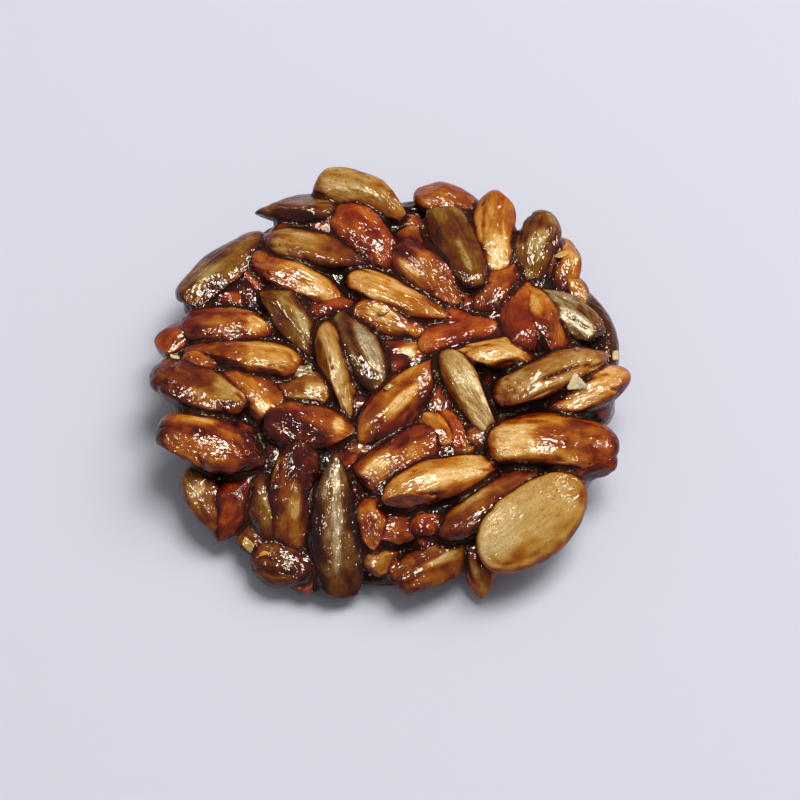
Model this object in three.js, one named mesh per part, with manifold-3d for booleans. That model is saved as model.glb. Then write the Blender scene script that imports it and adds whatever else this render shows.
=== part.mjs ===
// Pumpkin seed brittle: hulled pumpkin seeds set in a round of dark caramel. Millimetres, +Z up.
// The origin is the middle of the round, on the flat face it rests on. -Y is the front.
import * as THREE from "three";
import { mergeVertices } from "three/addons/utils/BufferGeometryUtils.js";
import Module from "manifold-3d";

// Caramel core, under and between the seeds.
const CORE_RADIUS = 26.6;
const CORE_HEIGHT = 6.9; // caramel level between the seeds on top
const CORE_EDGE = 2.4; // rounding of the rim, top and bottom
const CORE_SIDES = 48;
const EDGE_STEPS = 3;
const TOP_STEPS = 4;
const DIP_SHARE = 0.56; // how much of its height the core loses at the front rim
const DIP_FROM = 16; // radius where the slope to the front rim starts
const DIP_HEADING = -98; // degrees
const DIP_SPREAD = 44; // degrees to each side
const SKIRT_REACH = 2.6; // how far the run of bare caramel stands out at the right
const SKIRT_HEADING = 14; // degrees
const SKIRT_SPREAD = 20; // degrees to each side
const RIPPLE = 0.5; // unevenness of the core's outline

// A seed is a flat drop: blunt at one end, drawn in towards the tip at the other.
const SEED_SIDES = 8;
const SEED_STEPS = 6;
const SEED_THICKNESS = 0.58; // share of its width
const SEED_TAPER = 0.2;
const SEED_FULLNESS = 0.9; // under 1 is blunter than an ellipse
const SEED_NORM = 1.04; // widest radius of the tapered drop, so a seed's width is its real width

// Seeds that show from above and in front, largest layer first.
// Each row: middle x, y, z; heading of the tip, pitch, roll in degrees; length, width.
const TOP_SEEDS = [
  // upper left
  [-21.4, 15.0, 7.2, 50, 0, -20, 14.0, 5.8],
  [-11.2, 24.0, 7.2, 187, 0, 40, 12.0, 5.2],
  [-3.9, 25.7, 8.2, -26, 0, 5, 11.8, 5.4],
  [-9.9, 17.1, 8.0, -20, 0, -30, 13.2, 5.8],
  [-8.8, 21.4, 6.4, -25, 0, 0, 11.0, 5.6],
  [-3.2, 18.9, 7.8, -50, 0, 5, 11.8, 6.0],
  [-11.6, 12.7, 8.0, -30, 0, -25, 13.4, 5.6],
  [-17.0, 13.7, 6.8, -83, 0, 40, 6.5, 3.4],
  [-17.8, 11.4, 6.4, -50, 0, 20, 9.0, 5.0],
  [-21.0, 10.6, 6.2, 0, 0, 10, 10.0, 6.0],
  // left
  [-20.6, 5.8, 7.6, -6, 0, -15, 11.2, 5.2],
  [-26.3, 4.8, 5.8, 35, 0, -20, 5.0, 3.6],
  [-18.5, 1.3, 8.0, 174, 0, 30, 14.0, 5.8],
  [-23.2, 0.4, 6.8, -20, 0, -40, 6.0, 4.0],
  [-24.0, -3.3, 7.8, -29, 0, 0, 13.0, 6.6],
  [-17.2, -4.8, 7.3, -50, 0, 10, 11.2, 6.0],
  [-11.2, -3.6, 7.4, 172, 0, 0, 7.4, 5.2],
  [-21.9, -10.7, 7.6, -12, 0, 10, 14.0, 6.8],
  [-9.6, -9.0, 7.8, -8, 0, 0, 12.0, 5.8],
  // middle
  [-12.2, 6.4, 8.2, -61, 0, -30, 11.8, 5.0],
  [-6.9, -0.7, 7.8, -77, 0, -60, 13.4, 5.2],
  [-3.5, 1.8, 8.2, -70, 0, -35, 12.4, 5.8],
  [0.2, 6.3, 7.0, -20, 0, 0, 11.0, 5.4],
  [-6.4, 8.7, 6.4, 0, 0, 0, 10.0, 5.0],
  [1.1, 1.6, 6.6, 8, 0, 0, 9.0, 5.4],
  [1.0, -5.3, 8.2, 50, 0, 20, 14.2, 5.2],
  [5.8, -8.2, 7.0, 122, 0, 20, 7.4, 3.8],
  [0.6, -13.4, 7.5, 39, 0, 5, 12.4, 6.0],
  [-4.9, -12.9, 6.4, 40, 0, 0, 7.0, 4.2],
  [8.6, 4.4, 7.3, 18, 0, -5, 11.4, 5.2],
  // upper right
  [1.0, 10.0, 8.2, -25, 0, -30, 13.4, 5.6],
  [4.4, 13.9, 8.0, -48, 0, 15, 11.8, 5.4],
  [8.4, 17.9, 8.2, -70, 0, 0, 14.0, 5.6],
  [8.0, 25.8, 7.0, -20, 0, -10, 9.8, 4.4],
  [13.5, 19.6, 8.0, 88, 0, 0, 12.2, 5.4],
  [18.6, 18.2, 7.6, 75, 0, 15, 9.8, 5.0],
  [12.8, 11.4, 6.8, -111, 0, 20, 7.6, 4.4],
  [16.4, 7.1, 7.3, 85, 0, -20, 9.0, 4.6],
  [19.4, 6.9, 7.5, 113, 0, 30, 10.0, 4.6],
  [21.8, 15.2, 6.6, -88, 0, 20, 9.0, 4.0],
  [24.4, 12.7, 5.6, -80, 0, 0, 5.6, 3.0],
  [23.3, 7.6, 7.3, -38, 0, -20, 10.2, 5.4],
  [0.8, 22.0, 7.0, -12, 0, -20, 5.6, 2.6],
  [3.4, 21.0, 6.8, -50, 0, 0, 4.2, 2.6],
  // right
  [13.4, 1.7, 8.0, 188, 0, 30, 12.6, 5.6],
  [19.9, -1.8, 8.0, 25, 0, -15, 15.0, 5.8],
  [24.2, -3.6, 7.2, 204, 0, 45, 12.2, 5.2],
  [20.0, -10.8, 7.6, -1, 0, 5, 15.0, 6.2],
  [24.6, -12.9, 7.0, 15, 0, 0, 5.0, 3.8],
  [9.8, -4.8, 7.7, -62, 0, 55, 13.6, 5.0],
  // front right, the big flat seed lies over the rim
  [6.4, -16.3, 8.2, 23, 0, -25, 15.0, 5.4],
  [12.6, -18.2, 6.6, 36, 0, -25, 15.4, 5.2],
  [17.3, -20.8, 6.6, 42, 0, 20, 16.4, 8.4],
  [10.6, -25.0, 3.0, -100, -25, 0, 6.4, 2.8],
  [6.0, -25.0, 4.0, 30, 0, 0, 12.0, 5.0],
  [2.0, -25.6, 3.5, 60, 0, 0, 5.0, 4.0],
  [4.4, -21.0, 6.2, 10, 0, 0, 4.6, 3.2],
  [-2.4, -21.0, 6.2, -85, -10, 10, 7.0, 3.6],
  [0.6, -21.8, 6.0, 10, 0, 0, 6.0, 3.8],
  [-0.9, -24.9, 4.5, 55, 0, 0, 5.0, 3.0],
  // front left
  [-11.6, -18.2, 6.4, -94, -12, 0, 13.2, 4.8],
  [-15.6, -19.2, 5.0, -77, -15, 30, 9.4, 4.4],
  [-6.5, -21.3, 5.6, 92, 25, 0, 16.2, 5.6],
  [-14.8, -12.9, 6.8, -100, 0, 40, 5.4, 3.0],
  [-19.4, -17.8, 4.8, -112, -20, 0, 9.2, 4.4],
  [-23.0, -17.0, 4.8, -71, -15, 10, 8.4, 4.2],
  [-11.9, -25.0, 2.8, 20, 0, 0, 6.4, 4.4],
  // deep between the others
  [-6.4, 13.2, 6.2, -60, 0, 0, 11.0, 5.0],
  [18.6, 12.6, 6.2, -75, 0, 0, 9.0, 5.0],
];

// Seeds lying against the wall from the right round the back to the left, spaced by a rule.
const WALL_SEEDS = 14;
const WALL_FROM = 34; // degrees
const WALL_STEP = 12.2; // degrees
const WALL_RADIUS = 25.6;
const WALL_HEIGHT = 3.7;
const WALL_LENGTH = 11.5;
const WALL_WIDTH = 5.2;
const WALL_ROLL = 62; // the face looks out and a little up
const WALL_SLANT = 44; // spread of the slopes, degrees

const GOLDEN = 0.618034;

// A steady spread of values from 0 to 1, the same each time.
function spread(index, lane) {
  return (index * GOLDEN + lane * 0.37) % 1;
}

// The row of one wall seed.
function wallSeed(index) {
  const heading = WALL_FROM + index * WALL_STEP;
  const angle = THREE.MathUtils.degToRad(heading);
  return [
    WALL_RADIUS * Math.cos(angle),
    WALL_RADIUS * Math.sin(angle),
    WALL_HEIGHT + (spread(index, 1) - 0.5) * 1.2,
    heading + 90,
    (spread(index, 2) - 0.5) * WALL_SLANT,
    WALL_ROLL,
    WALL_LENGTH + (spread(index, 3) - 0.5) * 2,
    WALL_WIDTH,
  ];
}

const wasm = await Module();
wasm.setup();

// A closed three.js geometry as a solid.
function solidOf(geometry) {
  geometry.deleteAttribute("normal");
  geometry.deleteAttribute("uv");
  const merged = mergeVertices(geometry, 1e-4);
  return new wasm.Manifold(
    new wasm.Mesh({
      numProp: 3,
      vertProperties: new Float32Array(merged.attributes.position.array),
      triVerts: new Uint32Array(merged.index.array),
    }),
  );
}

// 1 at a heading in the middle of a stretch of the rim, fading to 0 at both its sides.
function stretch(heading, middle, spread) {
  const off = THREE.MathUtils.radToDeg(heading) - middle;
  return Math.exp(-((off / spread) ** 2));
}

// Share that the core's outline is pushed out by at a heading.
function outlineShare(heading) {
  const skirt = SKIRT_REACH * stretch(heading, SKIRT_HEADING, SKIRT_SPREAD);
  const ripple = RIPPLE * (Math.sin(3 * heading + 0.6) + 0.6 * Math.sin(7 * heading));
  return 1 + (skirt + ripple) / CORE_RADIUS;
}

// Share of its height that the core keeps, where it slopes down to the front rim.
function heightShare(heading, radius) {
  const slope = THREE.MathUtils.smoothstep(radius, DIP_FROM, CORE_RADIUS);
  return 1 - DIP_SHARE * slope * stretch(heading, DIP_HEADING, DIP_SPREAD);
}

// The caramel: a low round with rounded rims, flat beneath and wavy in outline.
function caramelCore() {
  const profile = [new THREE.Vector2(0, 0)];
  const inner = CORE_RADIUS - CORE_EDGE;
  for (let step = 0; step <= EDGE_STEPS; step++) {
    const turn = (step / EDGE_STEPS) * (Math.PI / 2);
    profile.push(
      new THREE.Vector2(inner + CORE_EDGE * Math.sin(turn), CORE_EDGE * (1 - Math.cos(turn))),
    );
  }
  for (let step = 0; step <= EDGE_STEPS; step++) {
    const turn = (step / EDGE_STEPS) * (Math.PI / 2);
    const height = CORE_HEIGHT - CORE_EDGE * (1 - Math.sin(turn));
    profile.push(new THREE.Vector2(inner + CORE_EDGE * Math.cos(turn), height));
  }
  for (let step = TOP_STEPS - 1; step >= 0; step--) {
    profile.push(new THREE.Vector2((inner * step) / TOP_STEPS, CORE_HEIGHT));
  }

  const core = new THREE.LatheGeometry(profile, CORE_SIDES).rotateX(Math.PI / 2);
  const place = core.attributes.position;
  for (let i = 0; i < place.count; i++) {
    const x = place.getX(i);
    const y = place.getY(i);
    const heading = Math.atan2(y, x);
    const share = outlineShare(heading);
    place.setXYZ(i, x * share, y * share, place.getZ(i) * heightShare(heading, Math.hypot(x, y)));
  }
  return solidOf(core);
}

// One seed at its place, its length along its heading.
function seed([x, y, z, heading, pitch, roll, length, width]) {
  const drop = new THREE.SphereGeometry(1, SEED_SIDES, SEED_STEPS);
  const place = drop.attributes.position;
  for (let i = 0; i < place.count; i++) {
    const along = place.getY(i);
    const ring = Math.sqrt(Math.max(0, 1 - along * along));
    const fullness = ring > 1e-6 ? ring ** (SEED_FULLNESS - 1) : 0;
    const girth = (fullness * (1 - SEED_TAPER * along)) / SEED_NORM;
    place.setXYZ(
      i,
      (along * length) / 2,
      (-place.getX(i) * girth * width) / 2,
      (place.getZ(i) * girth * width * SEED_THICKNESS) / 2,
    );
  }
  const toRad = THREE.MathUtils.degToRad;
  drop.rotateX(toRad(roll)).rotateY(toRad(-pitch)).rotateZ(toRad(heading));
  drop.translate(x, y, z);
  return solidOf(drop);
}

// What would reach below the face the round rests on.
function belowTable() {
  const size = 4 * CORE_RADIUS;
  return solidOf(new THREE.BoxGeometry(size, size, size).translate(0, 0, -size / 2));
}

// The outer body alone: hollows that the seeds close off are filled, and loose scraps are dropped.
function outerBody(solid) {
  const bodies = solid.decompose();
  return bodies.reduce((largest, body) => (body.volume() > largest.volume() ? body : largest));
}

function geometryOf(solid) {
  const mesh = solid.getMesh();
  const geometry = new THREE.BufferGeometry();
  geometry.setAttribute("position", new THREE.BufferAttribute(mesh.vertProperties, 3));
  geometry.setIndex(new THREE.BufferAttribute(mesh.triVerts, 1));
  geometry.computeVertexNormals();
  return geometry;
}

const wallSeeds = Array.from({ length: WALL_SEEDS }, (_, index) => wallSeed(index));
const seeds = [...TOP_SEEDS, ...wallSeeds].map(seed);
const fused = wasm.Manifold.union([caramelCore(), ...seeds]);
const round = outerBody(fused.subtract(belowTable()));

const caramelBrown = new THREE.MeshStandardMaterial({
  color: 0x8a4a16,
  roughness: 0.3,
  metalness: 0,
});
const brittle = new THREE.Mesh(geometryOf(round), caramelBrown);
brittle.name = "brittle";

const part = new THREE.Group();
part.name = "pumpkin_seed_brittle";
part.add(brittle);

export default part;
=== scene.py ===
"""Pumpkin seed brittle: glazed seeds set in dark caramel, on a pale floor in soft studio light."""
import math
from typing import NamedTuple

import bpy
import numpy as np
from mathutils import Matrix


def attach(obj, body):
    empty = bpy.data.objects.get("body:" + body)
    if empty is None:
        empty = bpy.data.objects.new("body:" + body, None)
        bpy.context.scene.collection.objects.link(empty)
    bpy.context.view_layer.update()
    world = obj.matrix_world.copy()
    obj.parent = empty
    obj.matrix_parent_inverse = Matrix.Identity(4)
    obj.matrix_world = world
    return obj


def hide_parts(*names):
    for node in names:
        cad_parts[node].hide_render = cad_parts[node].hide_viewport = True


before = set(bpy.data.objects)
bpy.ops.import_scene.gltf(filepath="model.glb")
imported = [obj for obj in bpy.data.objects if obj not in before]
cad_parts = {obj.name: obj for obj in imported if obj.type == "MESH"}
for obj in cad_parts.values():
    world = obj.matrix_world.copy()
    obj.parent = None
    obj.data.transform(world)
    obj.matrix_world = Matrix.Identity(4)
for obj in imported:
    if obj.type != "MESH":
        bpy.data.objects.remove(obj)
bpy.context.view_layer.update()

import openvdb
from mathutils import Vector

MM = 0.001  # the tables below are in millimetres, and Blender's unit is the metre


class Seed(NamedTuple):
    """A flat drop, blunt at one end and drawn in towards the tip at the other."""

    x: float
    y: float
    z: float
    heading: float  # where the tip points, in degrees from the right
    pitch: float
    roll: float
    length: float
    width: float
    form: str
    kind: str = "amber"
    film: float = 0.0  # caramel over it, beside what its kind has anyway
    lean: float = 0.0  # how much more film the tip has than the blunt end
    bare: tuple = None  # nearly bare patch of pale skin that also paints a highlight: place along and across, reach along, and reach across if unusual


class Sunflower(NamedTuple):
    """Seeds laid out like those in a sunflower's head."""

    count: int
    radius: float
    turn: float  # of the whole layout, in radians
    height: float
    sink: float  # how much faster they sink to the front rim than the core does
    rolls: float  # extent of the rolls
    length: float
    lengths: float  # extent of the lengths
    width: float
    film: tuple  # thinnest and thickest
    forms: tuple
    kinds: tuple
    lane: int  # first of the lanes of spread values that they use


class Flake(NamedTuple):
    """A flake of seed skin, a thin curled plate with a few corners."""

    x: float
    y: float
    heading: float
    pitch: float
    roll: float
    length: float
    width: float
    corners: int
    kind: str
    film: float


class Kind(NamedTuple):
    """A kind of seed skin, and how caramel shows on it."""

    skin: tuple  # bare colour, linear
    film: float  # film that the kind has anyway
    sheen: float  # gloss of the bare skin itself
    lines: float = 0.45  # film in the lengthwise lines
    streaks: float = 0.4  # film in the streaks
    bare_coat: float = 0.3  # share of the glaze's gloss where there is no film
    pores: tuple = (0.8, 1.15)  # factors of the bare colour in the pores and between them
    loss: tuple = (0.58, 1.27, 3.6)  # what each unit of film takes from the colour


class Layer(NamedTuple):
    """Noise in the glaze."""

    scale: float
    detail: float
    source: tuple  # range of the noise that counts
    target: tuple = None  # range that it is taken to
    warp: float = 0.0


class Relief(NamedTuple):
    """Unevenness of a surface that is finer than its mesh."""

    scale: float
    detail: float
    depth: float
    strength: float = None


# Caramel core, under and between the seeds. Headings are in degrees, and 0 is to the right.
CORE_RADIUS = 26.6
CORE_HEIGHT = 5.9
CORE_EDGE = 2.4  # rounding of the rim, top and bottom
CORE_SIDES = 96
EDGE_STEPS = 6
TOP_STEPS = 13
DIP_SHARE = 0.56  # how much of its height the core loses at the front rim
DIP_FROM = 16  # radius where the slope to the front rim starts
DIP_HEADING = -98
DIP_SPREAD = 44
SKIRT_REACH = 2.6  # how far the run of bare caramel stands out at the right
SKIRT_HEADING = 17
SKIRT_SPREAD = 22
RIPPLE = 0.5  # unevenness of the core's outline, in wide and narrow waves
WIDE_WAVES = 3
NARROW_WAVES = 7
NARROW_SHARE = 0.6
WAVE_TURN = 0.6

# Rings and sides of the small meshes.
SHOWN_MESH = (64, 52)
HIDDEN_MESH = (36, 24)
CRUMB_MESH = (14, 12)
DROP_MESH = (6, 10)
BUBBLE_MESH = (10, 16)

# Shape of a seed.
SEED_SWELL = np.array([1.09, 1.33, 1.18])  # makes up for what the flats take off
TILT = 7  # most a seed tips end to end from its row's pitch, in degrees
TWIST = 0.15  # most a seed twists, in radians
BEND = 0.14  # most a seed curves to a side, as a share of its half width
ARCH = (-0.10, 0.16)  # how far a seed curves down or up, as a share of its half width
EDGE_POWER = 0.92  # under 1 is blunter at the edge than an ellipse
LUMP_SIZE = 3.4
LUMP_DEPTH = 0.13
FOLD_SIZE = 1.3
FOLD_DEPTH = (0.05, 0.17)
FOLD_SHARPNESS = 4
LENGTHWISE = np.array([0.2, 1.0, 1.0])  # draws noise out along a seed
FACETS = 7  # flats on each seed, where it dried unevenly
FORM_FACETS = {"oval": 2, "flat": 0}  # forms with fewer flats than the rest
FACET_LEAN = np.array([0.25, 0.7, 0.9])  # flats lie more on the faces than at the ends
FACET_CUT = (0.72, 0.93)  # height of a flat, as a share of the seed's reach that way
FACET_FLATNESS = 0.93
MARGIN_PLACE = 0.92  # the flat seed's raised margin starts at a groove, at this share of its half width
MARGIN_WIDTH = 0.05
MARGIN_DEPTH = 0.10
NOISE_STEP = 40.0  # keeps one seed's noise apart from the next one's

# Forms of seed: how pointed the two ends are, how ridged the faces, and thickness as a share of the width.
FORMS = {
    "plain": (0.42, 0.72, 1.15, 0.70),
    "long": (0.58, 0.76, 1.12, 0.72),
    "full": (0.36, 0.52, 1.12, 0.66),
    "blunt": (0.26, 0.36, 1.10, 0.68),
    "ridged": (0.44, 0.64, 1.60, 0.76),
    "drop": (0.26, 0.74, 1.30, 0.66),
    "oval": (0.33, 0.42, 1.08, 0.62),
    "flat": (0.44, 0.48, 0.90, 0.34),
}

# Seeds that show, as rows of Seed.
TOP_SEEDS = [
    # upper left
    (-21.4, 15.0, 7.2, 50, 0, -20, 14.0, 5.8, "full", "olive", 1.3, 0, (-0.45, -0.1, 0.35)),
    (-11.2, 24.0, 7.2, 187, 0, 40, 12.0, 5.2, "long", "olive", 1.7, 0.5),
    (-3.9, 25.0, 8.2, -26, 0, 13, 11.8, 5.4, "blunt", "tan", 0.0, 0.5, (-0.2, 0.1, 0.7, 0.45)),
    (-9.9, 17.1, 8.0, -20, 0, -30, 13.2, 5.2, "long", "tan", 0.8, 0.9, (-0.5, 0, 0.5)),
    (-8.8, 21.4, 6.4, -25, 0, 0, 11.0, 5.6, "plain", "red", 0.5),
    (-3.2, 18.9, 7.8, -50, 0, 5, 11.8, 6.0, "full", "red", 0.4, 0.7),
    (-11.6, 12.7, 8.0, -30, 0, -25, 13.4, 5.2, "long", "pale", 0.7, -0.9, (0.35, 0.0, 0.6, 0.5)),
    (-17.0, 13.7, 7.3, -83, 0, 40, 6.5, 3.4, "plain", "amber", 0.2),
    (-17.8, 11.4, 6.4, -50, 0, 20, 9.0, 5.0, "blunt", "red", 0.1),
    (-21.0, 10.6, 6.2, 0, 0, 10, 10.0, 6.0, "full", "red", 1.6),
    # left
    (-20.6, 5.8, 7.6, -6, 0, -15, 11.2, 5.2, "full", "pale", 1.5, -1.4, (0.65, 0, 0.3)),
    (-26.3, 4.8, 6.4, 35, 0, -20, 6.2, 4.4, "blunt", "red", 0.1),
    (-18.5, 1.3, 8.0, 174, 0, 30, 14.0, 5.8, "plain", "pale", 1.0, 0.6, (-0.4, 0, 0.6)),
    (-23.2, 0.4, 7.9, -20, 0, -40, 6.0, 4.0, "long", "amber", 0.2),
    (-23.4, -3.3, 7.8, -29, 0, -28, 13.0, 6.6, "full", "tan", 1.1, -0.2, (0.6, -0.1, 0.45, 0.6)),
    (-17.2, -4.8, 7.3, -50, 0, 10, 11.2, 6.0, "full", "amber", 0.9, 0, (0.5, 0, 0.3)),
    (-11.2, -3.6, 7.4, 172, 0, 0, 7.4, 5.2, "blunt", "tan", 0.5, 0.3, (-0.5, 0, 0.4)),
    (-21.4, -10.7, 7.6, -12, 0, -14, 14.0, 6.8, "full", "amber", 1.8, 0.2, (-0.3, 0.25, 0.3)),
    (-9.6, -9.0, 7.8, -8, 0, -12, 12.0, 5.8, "plain", "amber", 3.2, -0.6, (0.5, 0.1, 0.15)),
    # middle
    (-12.2, 6.4, 8.2, -61, 0, -30, 11.8, 5.0, "plain", "olive", 0.8, 0, (0.35, 0, 0.6)),
    (-6.4, -0.7, 7.8, -77, 0, -48, 13.4, 5.2, "long", "tan", -0.3, 0, (0.1, 0.3, 1.0, 0.6)),
    (-3.5, 1.8, 8.2, -70, 0, -15, 12.4, 4.8, "full", "dark", 2.1, 0, (0.05, 0.1, 1.0, 0.8)),
    (0.8, 6.3, 7.6, -20, 0, 0, 11.0, 5.8, "plain", "amber", 1.5, 0, (-0.4, 0, 0.35)),
    (-6.4, 8.7, 7.0, 0, 0, 0, 10.0, 5.0, "plain", "red", 2.5),
    (1.1, 1.6, 6.6, 8, 0, 0, 9.0, 5.4, "plain", "amber", 0.9, 0, (0.2, 0, 0.35)),
    (1.0, -5.3, 8.2, 50, 0, 20, 14.2, 5.2, "long", "pale", 1.2, 0.2, (-0.1, -0.1, 0.5)),
    (5.2, -7.8, 7.3, 125, 0, 20, 8.0, 3.8, "plain", "pale", 0.6, -0.3, (0.4, 0.2, 0.45)),
    (0.6, -13.4, 7.5, 39, 0, 5, 12.4, 6.0, "full", "amber", 1.6, 0, (-0.45, 0.1, 0.3)),
    (-4.9, -12.9, 6.4, 40, 0, 0, 7.0, 4.2, "long", "red", 1.0),
    (8.6, 4.4, 7.3, 18, 0, -5, 11.4, 5.2, "plain", "red", 1.1, 0.8),
    # upper right
    (1.0, 10.0, 8.2, -25, 0, -30, 13.4, 5.0, "plain", "pale", 0.1, 0.8, (-0.15, 0.0, 0.6, 0.5)),
    (4.4, 13.9, 8.0, -48, 0, 15, 11.8, 5.4, "full", "amber", 1.8, 0.5, (-0.2, -0.5, 0.4, 0.3)),
    (8.4, 17.9, 8.2, -70, 6, 0, 14.0, 4.8, "oval", "olive", 0.4, 0, (0.4, 0.0, 0.4, 0.25)),
    (8.0, 24.8, 7.0, -20, 0, -10, 9.8, 4.4, "plain", "pale", 0.7, 0.6),
    (13.5, 19.6, 8.0, 88, 0, 0, 12.2, 5.0, "oval", "pale", 0.3, 0.5, (-0.5, 0, 0.5)),
    (18.6, 17.5, 7.6, 75, 0, 15, 10.6, 5.0, "oval", "olive", 0.2, 0, (0.1, 0, 0.5)),
    (12.8, 11.4, 6.8, -111, 0, 20, 8.6, 5.4, "blunt", "amber", 2.2, 1.2, (-0.2, -0.4, 0.4, 0.35)),
    (16.6, 7.4, 7.5, 85, 0, -10, 11.4, 6.6, "plain", "red", 0.3),
    (18.9, 6.6, 7.7, 106, 0, 20, 11.6, 5.4, "long", "amber", 0.6, -0.4, (0.3, 0.5, 0.5)),
    (21.8, 15.2, 6.6, -88, 0, 20, 9.0, 4.0, "plain", "pale", 0.7, 1.3, (-0.7, 0, 0.35, 0.6)),
    (23.7, 11.7, 6.4, -65, 0, -20, 4.8, 2.7, "plain", "amber", 0.6),
    (22.4, 7.0, 7.5, -38, 0, 12, 10.6, 4.9, "full", "dark", 0.7, 0.2, (0.0, -0.1, 1.0, 0.7)),
    (0.8, 22.0, 7.2, -12, 0, -20, 5.6, 2.6, "long", "amber", 0.3),
    (3.4, 21.0, 7.4, -50, 0, 0, 4.2, 2.6, "plain", "amber", 0.8),
    # right
    (13.4, 1.7, 8.0, 188, 0, 30, 12.6, 5.0, "long", "pale", -0.15, 0.1, (0.0, 0, 0.5)),
    (19.9, -1.8, 7.9, 25, 0, -38, 15.0, 6.6, "ridged", "tan", 0.0, 0, (0.1, 0.4, 1.1, 0.42)),
    (23.8, -3.6, 7.2, 204, 0, 35, 12.2, 5.8, "long", "pale", 0.5, 0.5, (-0.6, 0, 0.5)),
    (20.0, -11.1, 7.6, -1, 0, -8, 15.0, 6.6, "oval", "pale", 0.9, 1.2, (-0.7, 0.2, 0.45)),
    (24.6, -12.9, 7.0, 15, 0, 0, 6, 4.6, "blunt", "red", 0.9),
    (9.8, -4.8, 7.7, -62, 0, 52, 13.6, 4.6, "ridged", "tan", -0.5, -0.2, (0.3, 0.0, 1.0, 0.5)),
    # front right, the big flat seed lies over the rim
    (6.4, -16.3, 8.2, 23, 0, 4, 15.0, 4.5, "long", "pale", -0.1, -0.8, (0.2, 0.0, 0.75, 0.5)),
    (12.6, -18.2, 6.6, 36, 0, -25, 15.4, 5.2, "long", "tan", 0.8, 0, (-0.3, 0.1, 0.4)),
    (17.3, -21.6, 7.2, 42, 0, 22, 15.2, 7.0, "flat", "khaki", 0.2, 0.45),
    (10.9, -25.7, 3.0, -82, -25, 0, 7.4, 3.8, "plain", "amber", -0.9),
    (6.0, -25.0, 4.0, 30, 0, 0, 12.0, 5.0, "plain", "tan", 1.0, 0, (0.1, -0.3, 0.8, 0.3)),
    (2.0, -25.6, 3.5, 60, 0, 0, 5.0, 4.0, "blunt", "red", 0.3),
    (4.4, -21.0, 6.2, 10, 0, 0, 4.6, 3.2, "plain", "red", 0.3),
    (-2.4, -21.0, 6.2, -85, -10, 10, 7.0, 3.6, "plain", "amber", 0.1),
    (0.6, -21.8, 6.0, 10, 0, 0, 6.0, 3.8, "blunt", "amber", 0.5),
    (-0.9, -24.9, 4.5, 55, 0, 0, 5.0, 3.0, "blunt", "tan", 0.3),
    # front left
    (-11.6, -18.2, 6.4, -94, -19, 0, 13.2, 5.6, "full", "tan", 2.1, -0.2, (0.15, 0, 0.3)),
    (-15.6, -19.2, 5.0, -77, -15, 30, 9.4, 4.4, "plain", "olive", 0.9),
    (-6.5, -21.3, 5.6, 92, 24, 0, 16.2, 5.9, "drop", "dark", 2.3, -1.0, (0.2, 0.0, 1.0, 0.24)),
    (-14.8, -12.9, 6.8, -100, 0, 40, 5.4, 3.0, "plain", "red", 1.5),
    (-19.4, -17.8, 4.8, -112, -20, 0, 9.2, 5.0, "plain", "red", 1.6),
    (-23.0, -17.0, 4.8, -71, -15, 10, 8.4, 4.2, "plain", "tan", 0.4, 0.2, (-0.2, 0.0, 0.3)),
    (-12.6, -24.6, 3.0, -15, 0, 0, 8.4, 6.0, "full", "olive", 1.4),
    # deep between the others
    (-6.4, 13.2, 6.2, -60, 0, 0, 11.0, 5.0, "plain", "olive", 0.9),
    (18.6, 12.6, 6.2, -75, 0, 0, 9.0, 5.0, "plain", "olive", 2.6),
    (7.2, -9.0, 6.9, 105, 0, 0, 7.4, 4.2, "plain", "red", 1.4),
    (-16.2, -22.6, 3.4, -40, -10, 0, 4.6, 3.4, "blunt", "tan", 1.2),
    (-9.4, -26.6, 2.2, 15, 0, 0, 5.4, 3.2, "plain", "amber", 0.6),
]

# Spread values that look random and are the same each time.
GOLDEN = 0.618034
LANE_STEP = 0.414214  # keeps one lane of spread values from following another

# Seeds against the wall from the right round the back to the left, spaced by a rule.
WALL_SEEDS = 14
WALL_FROM = 34
WALL_STEP = 12.2
WALL_RADIUS = 25.6
WALL_HEIGHT = 3.7
WALL_RISE = 1.2
WALL_LENGTH = 11.5
WALL_LENGTHS = 2
WALL_WIDTH = 5.2
WALL_ROLL = 62
WALL_SLANT = 44
WALL_FILM = (0.6, 1.5)  # thinnest and thickest
WALL_BARE = 0.4  # reach of the bare patch
WALL_FORMS = ("plain", "full", "plain")
WALL_KINDS = ("pale", "olive", "amber", "tan", "red")
WALL_GAP = 2  # places of the row left bare at the right, where the caramel runs out
RIGHT_WALL_SEEDS = 4  # seeds past that gap, under those that lie over the rim

# Seeds half drowned in the caramel under the others.
DEEP = Sunflower(
    count=46, radius=23.0, turn=1.0, height=6.5, sink=1.3, rolls=50,
    length=9.0, lengths=3, width=4.6, film=(1.0, 2.0), lane=6,
    forms=("plain", "blunt", "full"), kinds=("red", "amber", "olive", "red", "tan"),
)

# Seeds set flush in the flat underside.
UNDER = Sunflower(
    count=34, radius=22.5, turn=0.0, height=1.1, sink=0.0, rolls=30,
    length=11.5, lengths=3, width=5.6, film=(0.8, 1.6), lane=1,
    forms=("plain", "full", "long"), kinds=("amber", "tan", "olive", "pale", "red"),
)
FLUSH = 0.1  # seeds that reach the table end within this of it, no two at one height

# Bubbles that burst in the glaze on the seeds: place and radius.
BUBBLES = [
    (-1.4, 14.6, 0.45),
    (-22.6, 3.9, 0.5),
    (-17.6, -13.2, 0.5),
    (5.4, 10.8, 0.5),
    (-1.9, 5.5, 0.4),
    (19.6, 3.2, 0.4),
    (23.2, 1.2, 0.35),
]
BUBBLE_FILM = 2.2
BUBBLE_DOME = 0.35  # this and the dimple are in shares of the radius
DIMPLE_DEPTH = 0.3
DIMPLE_WIDTH = 0.45
DIMPLE_FROM = 1.6  # turn from the bottom, in radians, past which the dome is dimpled

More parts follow.
